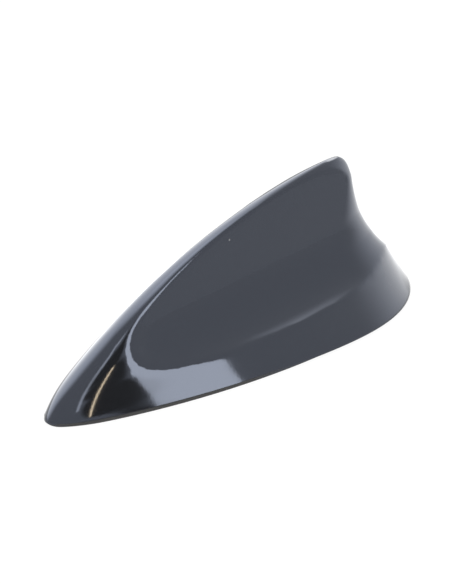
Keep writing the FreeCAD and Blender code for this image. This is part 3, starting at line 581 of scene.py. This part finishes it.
# %% Blade
AROUND_STEPS, ALONG_STEPS = 150, 90
TOUCHING = 1e-6
bpy.ops.object.select_all(action="DESELECT")
bpy.ops.mesh.primitive_grid_add(x_subdivisions=AROUND_STEPS, y_subdivisions=ALONG_STEPS, size=1.0)
blade = bpy.context.object
for vertex in blade.data.vertices:
    around, along = (min(max(place + 0.5, 0.0), 1.0) for place in vertex.co.xy)
    vertex.co = blade_point(around, along)
mirror = blade.modifiers.new("other_half", "MIRROR")
mirror.use_axis = (False, True, False)
mirror.merge_threshold = TOUCHING
bpy.ops.object.modifier_apply(modifier=mirror.name)
edit(blade)
bpy.ops.mesh.select_all(action="SELECT")
bpy.ops.mesh.remove_doubles(threshold=TOUCHING)
bpy.ops.mesh.fill_holes(sides=0)
bpy.ops.mesh.select_all(action="SELECT")
bpy.ops.mesh.normals_make_consistent(inside=False)
bpy.ops.object.mode_set(mode="OBJECT")
print("blade:", len(blade.data.vertices), "points")

# %% [markdown]
# ## What both forms share
# The cover's skin is the part of the hull that lies in the blade. The edge where they meet could be cut
# by hand with a knife, but a Boolean modifier finds it exactly. The blade's mesh is then no longer
# needed. The face under the foot goes too, because the real cover is open below, and points that the
# cut left very close are merged.

# %% Skin of the cover
FACES_DOWN, FOOT_MARGIN, TOO_CLOSE = -0.9, 0.1, 2e-5
edit(cover)
bpy.ops.mesh.select_all(action="SELECT")
bpy.ops.mesh.normals_make_consistent(inside=False)
bpy.ops.object.mode_set(mode="OBJECT")
shared = cover.modifiers.new("shared", "BOOLEAN")
shared.operation = "INTERSECT"
shared.object = blade
bpy.ops.object.modifier_apply(modifier=shared.name)
bpy.data.objects.remove(blade)
edit(cover, "FACE")
bpy.ops.object.mode_set(mode="OBJECT")
for face in cover.data.polygons:
    face.select = face.normal.z < FACES_DOWN and face.center.z < (LIP + FOOT_MARGIN) * MM
bpy.ops.object.mode_set(mode="EDIT")
bpy.ops.mesh.delete(type="FACE")
bpy.ops.mesh.select_all(action="SELECT")
bpy.ops.mesh.remove_doubles(threshold=TOO_CLOSE)
bpy.ops.object.mode_set(mode="OBJECT")
print("skin:", len(cover.data.vertices), "points")

# %% [markdown]
# ## Soft edges
# A cut is sharp, and a moulding is not. A Bevel modifier would round each edge by one radius, but here
# the radius changes: the edge of the hollow is widest and softest at the rear, soft at the front, and
# crisper in between. So the points near sharp edges are smoothed, within a reach and between two places
# along the car, a number of times. The foot's rim is left alone, because it has to stay on the seal.

# %% Soft edges
SHARP = math.radians(14)
RIM_EDGE, RIM_KEPT = 0.5, 1.0  # heights above the lip, in millimetres, that aren't smoothed
FADE_LENGTH = 0.03  # in metres, as the places along the car
BEFORE_NOSE, BEHIND_TAIL = -0.13, 0.2


def soft_creases(reach, ahead, behind, times):
    """Smooths the skin near its sharp edges, between two places along the car, but not the foot's rim."""
    edit(cover, "EDGE")
    bpy.ops.mesh.edges_select_sharp(sharpness=SHARP)
    bpy.ops.object.mode_set(mode="OBJECT")
    numbers = [number for edge in cover.data.edges if edge.select for number in edge.vertices]
    ends = [cover.data.vertices[number].co.copy() for number in numbers]
    ends = [end for end in ends if end.z > (LIP + RIM_EDGE) * MM]
    tree = KDTree(len(ends))
    for number, end in enumerate(ends):
        tree.insert(end, number)
    tree.balance()
    edit(cover)
    bpy.ops.object.mode_set(mode="OBJECT")
    for vertex in cover.data.vertices:
        inside = min(vertex.co.x - ahead, behind - vertex.co.x)
        fade = min(max(inside / FADE_LENGTH, 0.0), 1.0)
        vertex.select = tree.find(vertex.co)[2] < reach * fade and vertex.co.z > (LIP + RIM_KEPT) * MM
    bpy.ops.object.mode_set(mode="EDIT")
    bpy.ops.mesh.vertices_smooth(factor=0.5, repeat=times)
    bpy.ops.object.mode_set(mode="OBJECT")
    print("softened", sum(vertex.select for vertex in cover.data.vertices), "points")


soft_creases(reach=0.010, ahead=0.035, behind=BEHIND_TAIL, times=20)
soft_creases(reach=0.006, ahead=0.0, behind=BEHIND_TAIL, times=10)
soft_creases(reach=0.006, ahead=BEFORE_NOSE, behind=0.0, times=20)
soft_creases(reach=0.0015, ahead=BEFORE_NOSE, behind=BEHIND_TAIL, times=1)

# %% [markdown]
# ## The shell
# The cover is a thin moulding, and its open foot shows the wall. Solidify gives the skin this wall,
# inwards. The rim of the wall is then pressed flat on the rubber, since a wall on a slanting skin would
# dip below it.

# %% Fin cover
WALL = 2.2
SMOOTH_BELOW = math.radians(24)


def dress(piece, finish):
    """Gives a piece one finish alone."""
    piece.data.materials.clear()
    piece.data.materials.append(finish.material)


wall = cover.modifiers.new("wall", "SOLIDIFY")
wall.thickness = WALL * MM
wall.offset = -1.0
bpy.ops.object.modifier_apply(modifier=wall.name)
for vertex in cover.data.vertices:
    vertex.co.z = max(vertex.co.z, LIP * MM)
edit(cover)
bpy.ops.object.mode_set(mode="OBJECT")
bpy.ops.object.shade_smooth_by_angle(angle=SMOOTH_BELOW)
dress(cover, paint)
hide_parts("fin_cover")
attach(cover, "root")
print("cover:", len(cover.data.vertices), "points", len(cover.data.polygons), "faces")

# %% [markdown]
# ## Places of the studio
# The fin stands on a white floor in a white tent. A glossy black thing shows only what it mirrors, so
# the light is built from what the paint should show. Two angles name a place of the studio: round the
# fin from the tail, and above the floor. More lamps could brighten the tent there, but a lamp has a
# hard border in a mirror. A patch that is worked out from the way a ray goes can fade softly, so the
# tent is painted with patches.

# %% Places and patches
def direction(around, above):
    """The way to a place of the studio, by its angle round the fin from the tail and above the floor."""
    turn, rise = math.radians(around), math.radians(above)
    return Vector((math.cos(turn) * math.cos(rise), math.sin(turn) * math.cos(rise), math.sin(rise)))


def patch(nodes, towards, around, above, inner, outer):
    """1 inside a round patch of the studio, falling softly to 0 between two angles from its middle."""
    near = nodes.add("ShaderNodeVectorMath", {"operation": "DOT_PRODUCT"},
                     {0: towards, 1: tuple(direction(around, above))}, "Value")
    edge = math.cos(math.radians(outer))
    share = ((near - edge) * (1 / (math.cos(math.radians(inner)) - edge))).clamped()
    return share * share * (3.0 - share * 2.0)


print("the way to the nose:", direction(180, 0))

# %% [markdown]
# ## How bright the studio is
# The tent is brighter behind the ridge, behind the tail and overhead, and the paint shows that as the
# light along the ridge and round the tail. On the near side three dark patches make one slanting gap,
# which is the black zone beside the nose. A shaded patch low on the far side keeps the far flank black.
# The camera itself sees plain white, through the Light Path node.

# %% Brightness
# Each patch: angle round the fin, angle above the floor, and the two angles between which it fades.
GLOWS = {
    (92, 28, 24, 62): 3.2,  # behind the ridge
    (8, 6, 12, 54): 1.2,  # behind the tail
    (85, 79, 6, 22): 1.7,  # overhead
}
NOSE_GAP, GAP_DEPTH = ((-99, 11, 11, 15), (-104, 29, 8, 13), (-109, 44, 6, 11)), 0.97
FAR_SHADE, SHADE_DEPTH = (55, 1, 8, 17), 0.72


def studio_white(nodes, towards):
    """How white the studio is: 1 for the camera, and by its patches for all that is mirrored."""
    seen = nodes.add("ShaderNodeLightPath", output="Is Camera Ray")
    bright = 1.0
    for place, strength in GLOWS.items():
        bright = bright + patch(nodes, towards, *place) * strength
    dark = patch(nodes, towards, *NOSE_GAP[0])
    for place in NOSE_GAP[1:]:
        dark = dark.maths("MAXIMUM", patch(nodes, towards, *place))
    shade = patch(nodes, towards, *FAR_SHADE)
    return seen + (1.0 - seen) * bright * (1.0 - dark * GAP_DEPTH) * (1.0 - shade * SHADE_DEPTH)


print("patches:", len(GLOWS), "bright,", len(NOSE_GAP), "dark, 1 shaded")

# %% [markdown]
# ## The floor
# A white floor could be lit until it looks white, but then what the paint mirrors of it would change
# with every lamp. So the floor glows for the camera and for mirrored rays, with the tent's pattern, and
# is plain white to all other light. A little of the plain white is kept in what the camera sees, for a
# soft shadow at the foot. The pattern fades near the fin, and from below the floor is clear, so the
# underside can be looked at.

# %% Floor
FLOOR_SIZE, FLOOR_HEIGHT = 6.0, -0.0002
CLEAR_RADIUS, CLEAR_FADE = 0.07, 0.03
GLOW_SHARE = 0.93
bpy.ops.object.select_all(action="DESELECT")
bpy.ops.mesh.primitive_plane_add(size=FLOOR_SIZE, location=(0, 0, FLOOR_HEIGHT))
floor = bpy.context.object
floor.name = "studio_floor"
ground = Finish("studio_white", (0.86, 0.86, 0.86), 0.9)
outward = ground.add("ShaderNodeVectorMath", {"operation": "NORMALIZE"}, {0: ground.place()})
distance = ground.add("ShaderNodeVectorMath", {"operation": "LENGTH"}, {0: ground.place()}, "Value")
clear_of_fin = ((distance - CLEAR_RADIUS) * (1 / CLEAR_FADE)).clamped()
strength = 1.0 + (studio_white(ground, outward) - 1.0) * clear_of_fin
glow = ground.add("ShaderNodeEmission", None, {"Strength": strength})
seen, mirrored, through = (ground.add("ShaderNodeLightPath", output=ray)
                           for ray in ("Is Camera Ray", "Is Glossy Ray", "Is Transmission Ray"))
lit = seen.maths("MAXIMUM", mirrored).maths("MAXIMUM", through)
plain = Wire(ground, ground.shader.outputs["BSDF"])
from_above = ground.add("ShaderNodeMixShader", None, {0: lit * GLOW_SHARE, 1: plain, 2: glow})
below = ground.add("ShaderNodeNewGeometry", output="Backfacing")
clear = ground.add("ShaderNodeBsdfTransparent")
surface = ground.add("ShaderNodeMixShader", None, {0: below, 1: from_above, 2: clear})
ground.tree.links.new(surface.socket, ground.tree.nodes["Material Output"].inputs["Surface"])
dress(floor, ground)
print("floor nodes:", len(ground.tree.nodes))

# %% [markdown]
# ## The tent
# The tent is the world's background, so it needs no mesh and is the same from everywhere. In a world,
# the Generated coordinates are the way a ray goes, which is what the patches ask for.

# %% Tent
tent = bpy.data.worlds.new("white_tent")
tent.use_nodes = True
scene.world = tent
sky = Nodes(tent.node_tree)
background = sky.tree.nodes["Background"]
background.inputs["Color"].default_value = (1.0, 1.0, 1.0, 1.0)
tent_white = studio_white(sky, sky.add("ShaderNodeTexCoord", output="Generated"))
sky.tree.links.new(tent_white.socket, background.inputs["Strength"])
print("tent nodes:", len(sky.tree.nodes))

# %% [markdown]
# ## Soft boxes
# Three lights in the paint have clear borders, so they come from lamps: a broad box whose light lies
# along the foot, and two thin strips beside the nose, one warm and one pale. Each lamp is given by the
# angles that it fills when seen from the fin, and by how bright it should look. Its size and its power
# follow from these.

# %% Soft boxes
COOL, WARM = (1.0, 0.99, 0.95), (1.0, 0.74, 0.42)
LAMP_DISTANCE = 1.0


def soft_box(name, around, above, wide, high, radiance, colour, lean=0.0):
    """A lamp at a place of the studio that fills the given angles, leaning by some degrees."""
    width, height = (2 * LAMP_DISTANCE * math.tan(math.radians(angle / 2)) for angle in (wide, high))
    bpy.ops.object.select_all(action="DESELECT")
    bpy.ops.object.light_add(type="AREA", location=AIM + direction(around, above) * LAMP_DISTANCE)
    lamp = bpy.context.object
    lamp.name = name
    lamp.rotation_euler = (-direction(around, above)).to_track_quat("-Z", "Y").to_euler()
    lamp.rotation_euler.rotate_axis("Z", math.radians(lean))
    lamp.data.shape = "RECTANGLE"
    lamp.data.size = width
    lamp.data.size_y = height
    lamp.data.color = colour
    lamp.data.energy = radiance * math.pi * width * height
    lamp.visible_camera = False
    return lamp


boxes = [
    soft_box("foot_box", around=-84.6, above=20.0, wide=15.5, high=44.0, radiance=5.2, colour=COOL),
    soft_box("warm_strip", around=-109.5, above=18.5, wide=1.0, high=37.0, radiance=17.0, colour=WARM,
             lean=-1.5),
    soft_box("pale_strip", around=-123.0, above=35.0, wide=3.0, high=50.0, radiance=3.0, colour=COOL,
             lean=6.0),
]
print("lamps:", ", ".join("%s %.1f W" % (box.name, box.data.energy) for box in boxes))

# %% [markdown]
